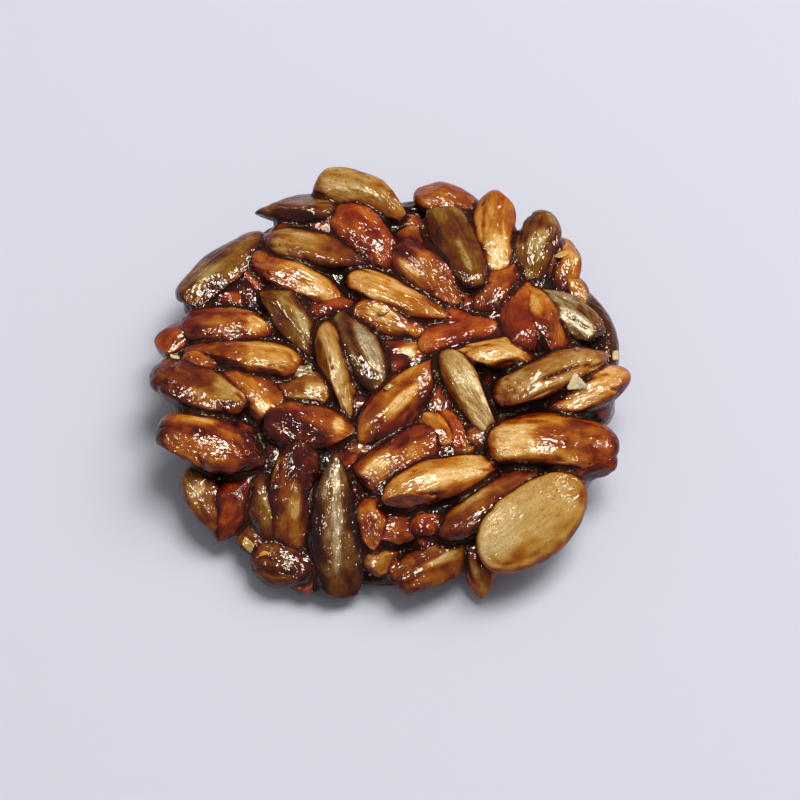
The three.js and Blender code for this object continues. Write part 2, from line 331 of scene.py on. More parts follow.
# Flakes that lie on top, as rows of Flake.
FLAKES = [
    (-10.9, -1.2, -15, 0, 10, 3.8, 2.2, 4, "dark", 0.7),
    (22.9, -4.1, 5, -10, 30, 3.6, 3.0, 3, "chaff", 0.0),
    (-0.3, -4.2, 30, 0, 0, 1.6, 1.0, 4, "tan", 0.3),
    (-27.0, 0.8, -20, 0, -30, 1.7, 1.1, 4, "chaff", 0.05),
    (28.4, 3.2, 75, 0, 20, 1.9, 1.2, 4, "chaff", 0.1),
    (21.7, 16.4, 20, 0, -20, 2.6, 1.5, 4, "pale", 0.2),
    (-1.0, 6.9, 15, 0, 0, 2.0, 1.0, 4, "tan", 0.5),
    (-24.5, 9.2, 60, 0, 0, 1.5, 1.0, 3, "tan", 0.4),
    (-17.4, -23.2, -60, 0, 25, 2.8, 1.5, 4, "chaff", 0.5),
    (-15.4, -24.6, 15, 0, -20, 2.0, 1.3, 3, "pale", 0.5),
]
FLAKE_SIDES = 24
FLAKE_THICKNESS = 0.14
FLAKE_TURN = 0.4
FLAKE_RAGGED = (0.9, 1.1)
FLAKE_CURL = 0.25
FLAKE_WAVE = 0.15
FLAKE_WAVES = 3
FLAKE_PROFILE = ((0.4, -1.0), (0.8, -1.0), (0.97, -0.6), (0.97, 0.6), (0.8, 1.0), (0.4, 1.0))

# Drops and crumbs in the gaps between the seeds.
GAP_SHUT_IN = 0.25  # the floor of a gap is shut in, faces up and lies high by more than these
GAP_UPWARD = 0.5
GAP_HEIGHT = 2.5
DROPS = 240
DROPS_APART = 0.5
DROPS_DRAW = 5
DROP_RADIUS = (0.10, 0.32)
DROP_SHAPE = np.array([1, 1, 0.8])
DROP_TINT = (0.16, 0.035, 0.008)
CRUMBS = 60
CRUMBS_APART = 1.6
CRUMBS_DRAW = 6
CRUMB_LENGTH = (0.6, 1.5)
CRUMB_WIDTH = (0.45, 0.85)  # as shares of the length
CRUMB_RISE = 0.15
CRUMB_TIP = 40
CRUMB_FILM = 2.2
CRUMB_FIRST = 1000  # crumbs are numbered from here, past the seeds

# Level sets of the heap of seeds and core, and the caramel drawn up between them.
VOXEL = 0.32
MENISCUS = 0.4  # radius of the caramel where it climbs between seeds
TUCK = 0.12  # how far the caramel lies under a seed's skin
CREASE_REACH = 2.6  # creases narrower than twice this are seen as deep
CREASE_BAND = 3.0  # depth past its reach at which a crease is still measured
CONTACT_REACH = 0.6  # reach of the narrow line where the caramel meets a seed
CONTACT_BAND = 2.0
BAND_VOXELS = 3  # spare width of a level set
INSIDE = 1.001  # keeps the far corner of a cell within the grid
REST_REACH = 0.6  # things rest on the highest point within this

# Caramel colours, linear: the open caramel's own colour, and the dark tint painted as shade where the caramel
# is shut in between the seeds.
CARAMEL_OPEN = (0.072, 0.017, 0.007)
CARAMEL_SHADED = (0.017, 0.0065, 0.0042)
GAP_DEPTH = 1.0  # depth of a gap at which the painted shade on the caramel is darkest
INSIDE_SHADE = 0.75  # share of the painted shade that all caramel inside the rim has at least
RIM_FROM = 24.0
RIM_WIDTH = 3.0

# Film of caramel on a seed, and where it lies; it also paints shade in the creases and down the sides, and
# highlight in the bare patches.
PAINTED_HAZE = (0.006, 0.0035, 0.0025)  # painted haze of reflected light, added to the colour even under the thickest film
PATCH_STRETCH = np.array([0.55, 1.0, 1.0])
PATCH_SIZE = 2.6
STREAK_SIZE = 0.9
STREAK_SHARE = 0.35  # share of streaks in the patches, the rest is blots
PATCH_FROM = 0.33
PATCH_FADE = 0.32
PATCH_FILM = (0.45, 1.55)  # share of the film that lies outside the patches and in them
LEAN_SHARE = 0.6
BARE_WIDTH = 0.42  # a bare patch's reach across the seed, where its row gives none
BARE_RAGGED = (0.4, 1.6)
BARE_FADE = 1.25
BARE_AND_HIGHLIGHT_CLEAR = 0.93  # share of the film that is gone in a bare patch, whose pale skin partly paints a highlight
CREASE_FILM_AND_SHADE = 2.4  # extra film deep in the creases between seeds, partly caramel pooled there and partly painted shade
CREASE_FROM = 0.05
CREASE_DEPTH = 1.4
CONTACT_FILM = 3.0  # extra film in the narrow line where the caramel meets a seed
CONTACT_FROM = 0.03
CONTACT_DEPTH = 0.14
SIDE_SHADE_FILM = 2.8  # painted shade: extra film that darkens the sides of each seed, where the surface faces less upward, against its top
SIDE_FROM = 0.94  # upward share of the surface under which it counts as side
SIDE_FADE = 0.30
SIDE_RAGGED_SIZE = 1.3
SIDE_LEAST = 0.35
STEEP_FROM = 0.95
STEEP_FADE = 0.9

# Kinds of seed skin.
KINDS = {
    "pale": Kind((0.94, 0.61, 0.28), 0.35, 1.0),
    "amber": Kind((0.92, 0.58, 0.26), 0.95, 1.0),
    "red": Kind((0.85, 0.32, 0.10), 1.0, 0.4),
    "tan": Kind((0.66, 0.46, 0.24), 0.5, 1.0),
    "olive": Kind((0.46, 0.36, 0.16), 0.85, 1.0),
    "dark": Kind((0.44, 0.36, 0.26), 0.2, 2.4, pores=(0.35, 1.5), loss=(0.64, 1.20, 2.4)),
    "khaki": Kind((0.66, 0.45, 0.20), 0.0, 0.3, lines=0.0, streaks=0.12, bare_coat=0.08),
    "chaff": Kind((0.84, 0.72, 0.50), 0.0, 0.3, lines=0.0, streaks=0.12, bare_coat=0.0),
}

# Noise in the glaze, with scales for millimetres.
RUNS = Layer(0.5, 3, (0.33, 0.68), (0.55, 1.3), 0.5)  # thin and thick film over a seed, as a factor
FLECKS = Layer(2.2, 2, (0.64, 0.74), (0.0, 0.7))  # small dark spots, as film
STREAKS = Layer(2.2, 3, (0.42, 0.72))  # streaks along a seed, as film
PORES = Layer(4.5, 2, (0.35, 0.65))  # pores in bare skin, as a factor of its colour
BEADING = Layer(0.45, 1, (0.45, 0.58), (0.05, 0.5))  # where the glaze stands in beads, as their strength
DULLING = Layer(0.6, 4, (0.42, 0.62), (0.04, 0.12))  # roughness of the glaze
LINE_SCALE = 1.1
LINE_DETAIL = 2
LINE_WIDTH = 0.02
LINE_STRETCH = (0.3, 1.0, 1.0)
DRY_FILM = (0.1, 0.8)  # film over which pores fade out
DRY_PORES = (1.0, 0.12)
SHEEN_FILM = (0.1, 0.9)  # film over which the bare skin's own sheen fades out
COAT_FILM = (0.05, 0.6)  # film over which the glaze turns fully glossy
SKIN_ROUGHNESS = 0.38
SKIN_GLOSS_TINT = (1.0, 0.86, 0.62, 1.0)
GLAZE_INDEX = 1.5  # of refraction

# Relief in the glaze, with scales for millimetres, and in the caramel, with scales for metres.
WAVE = Relief(0.7, 1, 0.30, 0.5)
FOLD = Relief(2.4, 2, 0.18, 0.7)
GRAIN = Relief(3.6, 2, 0.08, 0.4)
SPECKLE = Relief(1.9, 1, 0.15)  # as strong as BEADING says
CARAMEL_WAVE = Relief(800, 1, 0.4, 0.5)
CARAMEL_RIPPLE = Relief(2600, 1, 0.16, 0.6)
CARAMEL_ROUGHNESS = 0.08
CARAMEL_SHADES = (0.006, 0.03)  # colour over which the caramel turns glossier, so the painted shade in the gaps dims its gloss as well
CARAMEL_GLOSS = (0.14, 0.45)
CARAMEL_GLOSS_TINT = (1.0, 0.84, 0.66, 1.0)

# Floor, light and camera.
FLOOR_SIZE = 4.0
FLOOR_COLOUR = (0.77, 0.80, 0.955, 1.0)
FLOOR_ROUGHNESS = 0.9
FLOOR_GLOSS = 0.1
WORLD_COLOUR = (1.0, 0.98, 0.95, 1.0)
WORLD_STRENGTH = 0.23
SHADING_COLOUR = (1.0, 0.96, 0.89)
GLINT_COLOUR = (1.0, 0.92, 0.76)

# Each light: name; place and size in metres; watts. Large ones shade, and small ones only glint.
SHADING_LIGHTS = [
    ("softbox", (0.28, 0.28, 1.05), 0.55, 7.7),
    ("key", (0.62, 0.46, 0.84), 0.60, 3.0),
]
GLINT_LIGHTS = [
    ("glint", (0.00, 0.14, 0.95), 0.18, 7.0),
    ("right_glint", (0.62, 0.34, 0.72), 0.12, 3.0),
    ("left_glint", (-0.50, 0.05, 0.80), 0.10, 2.0),
    ("front_glint", (0.00, -0.28, 0.86), 0.09, 1.6),
]
CAMERA_TILT = 60  # degrees down
CAMERA_AWAY = 350
CAMERA_TARGET = (1.125, -3.75, 6.0)
CAMERA_LENS = 126
CAMERA_SENSOR = 36
CAMERA_CLIP = 0.01

# A mix of numbers that turns whole-number cells into values that look random.
LATTICE = np.array([127.1, 311.7, 74.7])
LATTICE_SCALE = 43758.5453


def spread(index, lane):
    """A steady spread of values from 0 to 1, the same each time."""
    return ((index + 1) * (GOLDEN + lane * LANE_STEP)) % 1


def varied(middle, extent, index, lane):
    """A value within an extent round its middle."""
    return middle + (spread(index, lane) - 0.5) * extent


def between(low, high, share):
    """The value at a share of the way from low to high."""
    return low + (high - low) * share


def smooth(value):
    """0 to 1, eased at both ends."""
    value = np.clip(value, 0, 1)
    return value * value * (3 - 2 * value)


def lattice_value(cell):
    """A fixed value from 0 to 1 for each whole-number cell."""
    mixed = np.sin(cell @ LATTICE) * LATTICE_SCALE
    return mixed - np.floor(mixed)


def blended(part, value_at):
    """A blend of the values at the eight corners of a cell, each by how near it is."""
    total = 0.0
    for corner in np.ndindex(2, 2, 2):
        weight = np.prod(np.where(corner, part, 1 - part), axis=-1)
        total = total + weight * value_at(corner)
    return total


def noise(points, size):
    """Smooth noise from 0 to 1 with features of that size."""
    scaled = points / size
    cell = np.floor(scaled)
    return blended(smooth(scaled - cell), lambda corner: lattice_value(cell + corner))


def signed_power(value, power):
    """A power of a value's size, with the value's sign kept."""
    return np.sign(value) * np.abs(value) ** power


def rotation(heading, pitch, roll):
    """Turns a seed's own axes, length first, to its heading, pitch and roll in degrees."""
    turn, lift, lean = (math.radians(angle) for angle in (heading, -pitch, roll))
    about_z = np.array([[math.cos(turn), -math.sin(turn), 0], [math.sin(turn), math.cos(turn), 0], [0, 0, 1]])
    about_y = np.array([[math.cos(lift), 0, math.sin(lift)], [0, 1, 0], [-math.sin(lift), 0, math.cos(lift)]])
    about_x = np.array([[1, 0, 0], [0, math.cos(lean), -math.sin(lean)], [0, math.sin(lean), math.cos(lean)]])
    return about_z @ about_y @ about_x


def stretch(heading, middle, width):
    """1 at a heading in the middle of a stretch of the rim, fading to 0 at both its sides."""
    return np.exp(-(((np.degrees(heading) - middle) / width) ** 2))


def wall_seed(index):
    """One seed against the wall."""
    heading = WALL_FROM + index * WALL_STEP
    angle = math.radians(heading)
    return Seed(
        x=WALL_RADIUS * math.cos(angle),
        y=WALL_RADIUS * math.sin(angle),
        z=varied(WALL_HEIGHT, WALL_RISE, index, 1),
        heading=heading + 90,
        pitch=varied(0.0, WALL_SLANT, index, 2),
        roll=WALL_ROLL,
        length=varied(WALL_LENGTH, WALL_LENGTHS, index, 3),
        width=WALL_WIDTH,
        form=WALL_FORMS[index % len(WALL_FORMS)],
        kind=WALL_KINDS[index % len(WALL_KINDS)],
        film=between(*WALL_FILM, spread(index, 4)),
        bare=(varied(0.0, 1.0, index, 5), 0.0, WALL_BARE),
    )


def sunflower_seed(rule, index):
    """One seed of a sunflower layout."""
    angle = index * 2 * math.pi * GOLDEN + rule.turn
    radius = rule.radius * math.sqrt((index + 0.5) / rule.count)
    front = DIP_SHARE * smooth((radius - DIP_FROM) / (CORE_RADIUS - DIP_FROM))
    front = front * stretch(math.remainder(angle, 2 * math.pi), DIP_HEADING, DIP_SPREAD)
    return Seed(
        x=radius * math.cos(angle),
        y=radius * math.sin(angle),
        z=rule.height * (1 - rule.sink * front),
        heading=360 * spread(index, rule.lane),
        pitch=0.0,
        roll=varied(0.0, rule.rolls, index, rule.lane + 1),
        length=varied(rule.length, rule.lengths, index, rule.lane + 2),
        width=rule.width,
        form=rule.forms[index % len(rule.forms)],
        kind=rule.kinds[index % len(rule.kinds)],
        film=between(*rule.film, spread(index, rule.lane + 3)),
    )


def closed_tube(rings, sides):
    """Triangles of a tube of rings closed by a point at each end; the points are first, rings, last."""
    side = np.arange(sides)
    after = (side + 1) % sides
    last = 1 + rings * sides
    start = np.stack([np.zeros(sides, int), 1 + after, 1 + side], -1)
    end = np.stack([np.full(sides, last), last - sides + side, last - sides + after], -1)
    ring = 1 + np.arange(rings - 1)[:, None] * sides
    here = ring + side
    beside = ring + after
    ahead = here + sides
    ahead_beside = beside + sides
    lower = np.stack([here, beside, ahead_beside], -1).reshape(-1, 3)
    upper = np.stack([here, ahead_beside, ahead], -1).reshape(-1, 3)
    return np.concatenate([start, lower, upper, end])


def capped(rings, low, high):
    """Points of a closed tube from its rings, with its end points at two heights on its axis."""
    return np.concatenate([[[0, 0, low]], np.reshape(rings, (-1, 3)), [[0, 0, high]]])


def tube_turns(rings, sides):
    """Angles from end to end for each ring of a closed tube, and round it for each side."""
    turn = np.linspace(0, math.pi, rings + 2)[1:-1, None]
    around = np.linspace(0, 2 * math.pi, sides, endpoint=False)[None]
    return turn, around


def seed_mesh(seed, index, rings, sides):
    """Points of a seed in millimetres, and the same points in the seed's own axes."""
    blunt, tip, ridge, thickness = FORMS[seed.form]
    draws = np.random.default_rng(index)
    turn, around = tube_turns(rings, sides)
    around = around - draws.uniform(-TWIST, TWIST) * np.cos(turn)
    along = np.broadcast_to(-np.cos(turn), around.shape)
    girth = (1 + along) ** blunt * (1 - along) ** tip
    girth = girth / girth.max()
    bend = draws.uniform(-BEND, BEND) * (1 - along**2)
    arch = draws.uniform(*ARCH) * (1 - along**2)
    across = signed_power(np.cos(around), EDGE_POWER) * girth
    up = signed_power(np.sin(around), ridge) * girth
    skin = np.stack([along * seed.length, across * seed.width, up * seed.width * thickness], -1)
    skin = skin.reshape(-1, 3) * SEED_SWELL / 2
    apart = skin + NOISE_STEP * index
    lumps = noise(apart, LUMP_SIZE) - 0.5
    folds = 1 - np.abs(2 * noise(apart * LENGTHWISE, FOLD_SIZE) - 1)
    grooves = draws.uniform(*FOLD_DEPTH) * folds**FOLD_SHARPNESS
    skin[:, 1:] *= 1 + LUMP_DEPTH * lumps[:, None] - grooves[:, None]
    if seed.form == "flat":
        out = np.hypot(skin[:, 0] / seed.length, skin[:, 1] / seed.width) * 2 / SEED_SWELL[0]
        skin[:, 2] *= 1 - MARGIN_DEPTH * np.exp(-(((out - MARGIN_PLACE) / MARGIN_WIDTH) ** 2))
    skin[:, 1] += bend.ravel() * seed.width / 2
    skin[:, 2] += arch.ravel() * seed.width / 2
    for _ in range(FORM_FACETS.get(seed.form, FACETS)):
        lean = draws.normal(size=3) * FACET_LEAN
        lean = lean / np.linalg.norm(lean)
        height = skin @ lean
        over = np.maximum(height - draws.uniform(*FACET_CUT) * height.max(), 0)
        skin = skin - FACET_FLATNESS * over[:, None] * lean
    local = np.concatenate([[skin[:sides].mean(0)], skin, [skin[-sides:].mean(0)]])
    pitch = seed.pitch + draws.uniform(-TILT, TILT)
    place = np.array([seed.x, seed.y, seed.z])
    placed = local @ rotation(seed.heading, pitch, seed.roll).T + place
    placed[:, 2] = np.maximum(placed[:, 2], FLUSH * spread(index, 1))
    return placed, local


def core_mesh():
    """The caramel core's points and triangles: a low round, flat beneath, sloping to the front rim."""
    inner = CORE_RADIUS - CORE_EDGE
    quarter = np.linspace(0, math.pi / 2, EDGE_STEPS)
    low = np.stack([inner + CORE_EDGE * np.sin(quarter), CORE_EDGE * (1 - np.cos(quarter))], -1)
    high_edge = CORE_HEIGHT - CORE_EDGE * (1 - np.sin(quarter))
    high = np.stack([inner + CORE_EDGE * np.cos(quarter), high_edge], -1)
    level = np.linspace(inner, 0, TOP_STEPS)[1:-1]
    top = np.stack([level, np.full_like(level, CORE_HEIGHT)], -1)
    profile = np.concatenate([low, high, top])
    heading = np.linspace(-math.pi, math.pi, CORE_SIDES, endpoint=False)[None]
    radius, height = profile[:, :1], profile[:, 1:]
    skirt = SKIRT_REACH * stretch(heading, SKIRT_HEADING, SKIRT_SPREAD)
    wide = np.sin(WIDE_WAVES * heading + WAVE_TURN)
    ripple = RIPPLE * (wide + NARROW_SHARE * np.sin(NARROW_WAVES * heading))
    share = 1 + (skirt + ripple) / CORE_RADIUS
    slope = smooth((radius - DIP_FROM) / (CORE_RADIUS - DIP_FROM))
    keep = 1 - DIP_SHARE * slope * stretch(heading, DIP_HEADING, DIP_SPREAD)
    rim = [radius * share * np.cos(heading), radius * share * np.sin(heading), height * keep]
    return capped(np.stack(rim, -1), 0, CORE_HEIGHT), closed_tube(len(profile), CORE_SIDES)


def level_set(points, reach, triangles=None, quads=None):
    """Distances to a closed surface, within reach of it."""
    faces = {"triangles": triangles} if quads is None else {"quads": quads}
    faces = {kind: corners.astype(np.uint32) for kind, corners in faces.items()}
    return openvdb.FloatGrid.createLevelSetFromPolygons(
        points.astype(np.float32),
        transform=openvdb.createLinearTransform(voxelSize=VOXEL),
        halfWidth=reach / VOXEL,
        **faces,
    )


def distance(grid, points):
    """The level set's distance at each point, negative inside."""
    low, high = (np.array(corner) for corner in grid.evalActiveVoxelBoundingBox())
    values = np.zeros(high - low + 1, np.float32)
    grid.copyToArray(values, ijk=tuple(int(v) for v in low))
    place = np.clip(points / VOXEL - low, 0, np.array(values.shape) - INSIDE)
    cell = np.floor(place).astype(int)
    return blended(place - cell, lambda corner: values[tuple((cell + corner).T)])


def grown(heap, by, reach):
    """The level set of a heap grown by a distance."""
    points, triangles = heap
    surface = level_set(points, by + BAND_VOXELS * VOXEL, triangles=triangles)
    grown_points, grown_quads = surface.convertToQuads(isovalue=by)
    return level_set(grown_points, reach, quads=grown_quads)


def rest_height(points, x, y):
    """Height of the heap's top at a place."""
    near = np.hypot(points[:, 0] - x, points[:, 1] - y) < REST_REACH
    return points[near, 2].max()


def upward(points, triangles):
    """How far the surface at each point faces up, from -1 to 1."""
    first, second, third = (points[triangles[:, corner]] for corner in range(3))
    face = np.cross(second - first, third - first)
    total = np.zeros_like(points)
    for corner in range(3):
        np.add.at(total, triangles[:, corner], face)
    return total[:, 2] / np.maximum(np.linalg.norm(total, axis=1), 1e-9)


def scattered(points, allowed, count, apart, draw):
    """Places picked at random from the points that are allowed, none close to another."""
    draws = np.random.default_rng(draw)
    picked = []
    for index in draws.permutation(np.flatnonzero(allowed)):
        if all(np.linalg.norm(points[index] - points[other]) > apart for other in picked):
            picked.append(index)
        if len(picked) == count:
            break
    return points[picked]


def joined(meshes):
    """One set of points and triangles from many pairs of points and triangles."""
    starts = np.cumsum([0] + [len(points) for points, _ in meshes])
    triangles = [triangles + start for (_, triangles), start in zip(meshes, starts)]
    return np.concatenate([points for points, _ in meshes]), np.concatenate(triangles)


def add_piece(name, points, faces, material, colours=None, film=None, local=None):
    """A mesh object from arrays, with a colour, a film thickness and seed coordinates at each point; the
    colour and the film carry painted shade, and the film painted highlight too.
    """
    mesh = bpy.data.meshes.new(name)
    mesh.from_pydata((points * MM).tolist(), [], faces.tolist())
    mesh.shade_smooth()
    if colours is not None:
        tint = mesh.color_attributes.new("tint", "FLOAT_COLOR", "POINT")
        rgba = np.concatenate([colours, np.ones((len(colours), 1))], 1)
        tint.data.foreach_set("color", rgba.astype(np.float32).ravel())
    if film is not None:
        # the film also holds painted shade and painted highlight
        mesh.attributes.new("film", "FLOAT", "POINT").data.foreach_set("value", film.astype(np.float32))
    if local is not None:
        place = mesh.attributes.new("seed_place", "FLOAT_VECTOR", "POINT")
        place.data.foreach_set("vector", local.astype(np.float32).ravel())
    piece = bpy.data.objects.new(name, mesh)
    bpy.context.scene.collection.objects.link(piece)
    mesh.materials.append(material)
    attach(piece, "root")
    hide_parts("brittle")


def add_glazed(name, meshes, film, local, material):
    """One piece from many meshes, with the film and the seed coordinates of each."""
    points, triangles = joined(meshes)
    add_piece(name, points, triangles, material, film=np.concatenate(film), local=np.concatenate(local))


def seed_film_shade_and_highlight(seed, index, local, facing, crease, contact):
    """Thickness of the caramel film at each point of a seed, with painted shade in the creases and down the
    sides, and painted highlight in the bare patches.
    """
    along = local[:, 0] / (seed.length / 2)
    across = local[:, 1] / (seed.width / 2)
    apart = local * PATCH_STRETCH + NOISE_STEP * index
    streaks = noise(local * LENGTHWISE + NOISE_STEP * index, STREAK_SIZE)
    blots = (1 - STREAK_SHARE) * noise(apart, PATCH_SIZE) + STREAK_SHARE * streaks
    patches = smooth((blots - PATCH_FROM) / PATCH_FADE)
    thickness = (KINDS[seed.kind].film + seed.film) * between(*PATCH_FILM, patches)
    thickness = thickness + LEAN_SHARE * seed.lean * along
    # bare patch: pale skin showing through the film, partly a painted highlight
    if seed.bare is not None:
        bare_along, bare_across, reach, wide = (*seed.bare, BARE_WIDTH)[:4]
        away = ((along - bare_along) / reach) ** 2 + ((across - bare_across) / wide) ** 2
        bare_and_highlight = smooth(BARE_FADE - away * between(*BARE_RAGGED, streaks))
        thickness = thickness * (1 - BARE_AND_HIGHLIGHT_CLEAR * bare_and_highlight)
    # film pooled in the creases, which also paints the shade that falls there
    crease_depth = -crease - CREASE_REACH - CREASE_FROM
    thickness = thickness + CREASE_FILM_AND_SHADE * smooth(crease_depth / CREASE_DEPTH)
    contact_depth = -contact - CONTACT_REACH - CONTACT_FROM
    thickness = thickness + CONTACT_FILM * smooth(contact_depth / CONTACT_DEPTH)
    # painted shade: the film thickens where the surface faces less upward, so a seed's sides are darker than
    # its top
    uneven = SIDE_FADE * (noise(apart, SIDE_RAGGED_SIZE) - 0.5)
    side = smooth((SIDE_FROM - facing + uneven) / SIDE_FADE)
    steep_shade = smooth((STEEP_FROM - facing) / STEEP_FADE)
    thickness = thickness + SIDE_SHADE_FILM * side * (SIDE_LEAST + (1 - SIDE_LEAST) * steep_shade)
    return np.maximum(thickness, 0)


def new_material(name):
    """A material and its node tree."""
    material = bpy.data.materials.new(name)
    material.use_nodes = True
    return material, material.node_tree


def feed(tree, socket, value):
    """Gives a socket a number, a colour or another node's output."""
    if isinstance(value, (float, tuple)):
        socket.default_value = value
    else:
        tree.links.new(value, socket)


def set_shader(tree, values):
    """Gives the shader of a material its values by name."""
    for name, value in values.items():
        feed(tree, tree.nodes["Principled BSDF"].inputs[name], value)


def attribute_node(tree, name):
    """The node that reads one of the values kept at the points."""
    node = tree.nodes.new("ShaderNodeAttribute")
    node.attribute_name = name
    return node


def noise_node(tree, vector, scale, detail, warp=0.0):
    """Noise from 0 to 1, finer with a larger scale."""
    texture = tree.nodes.new("ShaderNodeTexNoise")
    texture.inputs["Scale"].default_value = scale
    texture.inputs["Detail"].default_value = detail
    texture.inputs["Distortion"].default_value = warp
    tree.links.new(vector, texture.inputs["Vector"])
    return texture.outputs["Fac"]


def mapped(tree, value, source, target):
    """A value taken from one range to another, kept within it."""
    node = tree.nodes.new("ShaderNodeMapRange")
    names = ("From Min", "From Max", "To Min", "To Max")
    for name, number in zip(names, (*source, *target)):
        node.inputs[name].default_value = number
    tree.links.new(value, node.inputs["Value"])
    return node.outputs["Result"]


def layer_node(tree, vector, layer, target=None):
    """Noise of one layer, taken to the layer's own range or to another."""
    value = noise_node(tree, vector, layer.scale, layer.detail, layer.warp)
    return mapped(tree, value, layer.source, target or layer.target)


def calculated(tree, operation, first, second):
    """A sum, product or power of two values."""
    node = tree.nodes.new("ShaderNodeMath")
    node.operation = operation
    feed(tree, node.inputs[0], first)
    feed(tree, node.inputs[1], second)
    return node.outputs["Value"]


def relief_node(tree, vector, relief, under=None, strength=None):
    """A surface roughened by noise, on top of another such surface where one is given."""
    bump = tree.nodes.new("ShaderNodeBump")
    feed(tree, bump.inputs["Strength"], relief.strength if strength is None else strength)
    bump.inputs["Distance"].default_value = relief.depth * MM
    tree.links.new(noise_node(tree, vector, relief.scale, relief.detail), bump.inputs["Height"])
    if under is not None:
        tree.links.new(under, bump.inputs["Normal"])
    return bump.outputs["Normal"]


def film_nodes(tree, kind, near, drawn_out):
    """Thickness of the film, painted shade and painted highlight included, with what in it is finer than the
    mesh.
    """
    runs = layer_node(tree, near, RUNS)
    flecks = layer_node(tree, near, FLECKS)
    streaks = layer_node(tree, drawn_out, STREAKS, (0.0, kind.streaks))
    wander = noise_node(tree, drawn_out, LINE_SCALE, LINE_DETAIL)
    wander = calculated(tree, "ABSOLUTE", calculated(tree, "SUBTRACT", wander, 0.5), 0.0)
    lines = mapped(tree, wander, (0.0, LINE_WIDTH), (kind.lines, 0.0))
    streaks = calculated(tree, "ADD", streaks, lines)
    thickness = calculated(tree, "MULTIPLY", attribute_node(tree, "film").outputs["Fac"], runs)
    return calculated(tree, "ADD", calculated(tree, "ADD", thickness, flecks), streaks)


def colour_nodes(tree, kind, thickness, near):
    """The skin's colour seen through the film, with pores where it is dry and a painted haze of reflected
    light on top.
    """
    pores = layer_node(tree, near, PORES, kind.pores)
    dry = mapped(tree, thickness, DRY_FILM, DRY_PORES)
    grainy = calculated(tree, "POWER", pores, dry)
    colour = tree.nodes.new("ShaderNodeCombineColor")
    for name, bare, loss, painted_haze in zip(("Red", "Green", "Blue"), kind.skin, kind.loss, PAINTED_HAZE):
        passed = calculated(tree, "POWER", math.exp(-loss), thickness)
        skin = calculated(tree, "MULTIPLY", grainy, bare)
        seen = calculated(tree, "MULTIPLY", passed, skin)
        tree.links.new(calculated(tree, "ADD", seen, painted_haze), colour.inputs[name])
    return colour.outputs["Color"]


def glazed_seed_material(name):
    """Seed skin of one kind seen through a film of caramel that also paints shade and highlight, glossier
    where the film is thick.
    """
    kind = KINDS[name]
    material, tree = new_material("glazed_seed_" + name)
    near = attribute_node(tree, "seed_place").outputs["Vector"]
    lengthwise = tree.nodes.new("ShaderNodeMapping")
    lengthwise.inputs["Scale"].default_value = LINE_STRETCH
    tree.links.new(near, lengthwise.inputs["Vector"])
    drawn_out = lengthwise.outputs["Vector"]
    thickness = film_nodes(tree, kind, near, drawn_out)
    fold = relief_node(tree, drawn_out, FOLD, relief_node(tree, near, WAVE))
    values = {
        "Base Color": colour_nodes(tree, kind, thickness, near),
        "Normal": relief_node(tree, near, GRAIN, fold),
        "Roughness": SKIN_ROUGHNESS,
        "Specular IOR Level": mapped(tree, thickness, SHEEN_FILM, (kind.sheen, 0.0)),
        "Specular Tint": SKIN_GLOSS_TINT,
        "Coat Weight": mapped(tree, thickness, COAT_FILM, (kind.bare_coat, 1.0)),
        "Coat Normal": relief_node(tree, near, SPECKLE, fold, layer_node(tree, near, BEADING)),
        "Coat Roughness": layer_node(tree, near, DULLING),
        "Coat IOR": GLAZE_INDEX,
    }
    set_shader(tree, values)
    return material


def caramel_material():
    """Dark glossy set caramel, redder where it lies open, with shade painted darker deep in the gaps."""
    material, tree = new_material("caramel")
    tint = tree.nodes.new("ShaderNodeVertexColor")
    tint.layer_name = "tint"
    place = tree.nodes.new("ShaderNodeTexCoord").outputs["Object"]
    wave = relief_node(tree, place, CARAMEL_WAVE)
    values = {
        "Base Color": tint.outputs["Color"],
        "Normal": relief_node(tree, place, CARAMEL_RIPPLE, wave),
        "Roughness": CARAMEL_ROUGHNESS,
        # gloss follows the tint, so it is dimmed where shade is painted deep in the gaps
        "Specular IOR Level": mapped(tree, tint.outputs["Color"], CARAMEL_SHADES, CARAMEL_GLOSS),
        "Specular Tint": CARAMEL_GLOSS_TINT,
    }
    set_shader(tree, values)
    return material


def add_caramel(heap, crease_grid, material):
    """The caramel between the seeds, with shade painted into its colour where it is shut in. Gives its
    points, its faces and how far each point is shut in.
    """
    shrink = MENISCUS + TUCK
    filled = grown(heap, MENISCUS, shrink + BAND_VOXELS * VOXEL)
    points, quads = filled.convertToQuads(isovalue=-shrink)
    # painted shade: the caramel's colour darkens where it is shut in between the seeds, and inside the rim
    shut_in = smooth((-distance(crease_grid, points) - CREASE_REACH) / GAP_DEPTH)[:, None]
    from_rim = np.hypot(points[:, 0], points[:, 1]) - RIM_FROM
    inside = 1 - smooth(from_rim / RIM_WIDTH)[:, None]
    painted_shade = np.maximum(shut_in, INSIDE_SHADE * inside)
    tint = np.array(CARAMEL_SHADED) * painted_shade + np.array(CARAMEL_OPEN) * (1 - painted_shade)
    points = np.maximum(points, [-np.inf, -np.inf, 0.0])
    add_piece("caramel", points, quads, material, tint)
    return points, quads, shut_in[:, 0]


def bubble_mesh(radius):
    """Points of a low dome with a dimple where the bubble burst."""
    turn, around = tube_turns(*BUBBLE_MESH)
    out = radius * np.sin(turn)
    dome = -BUBBLE_DOME * radius * np.cos(turn)
    dimple = DIMPLE_DEPTH * radius * np.exp(-((out / (DIMPLE_WIDTH * radius)) ** 2))
    height = np.broadcast_to(dome - dimple * (turn > DIMPLE_FROM), BUBBLE_MESH)
    rings = np.stack([out * np.cos(around), out * np.sin(around), height], -1)
    return capped(rings, -BUBBLE_DOME * radius, (BUBBLE_DOME - DIMPLE_DEPTH) * radius)


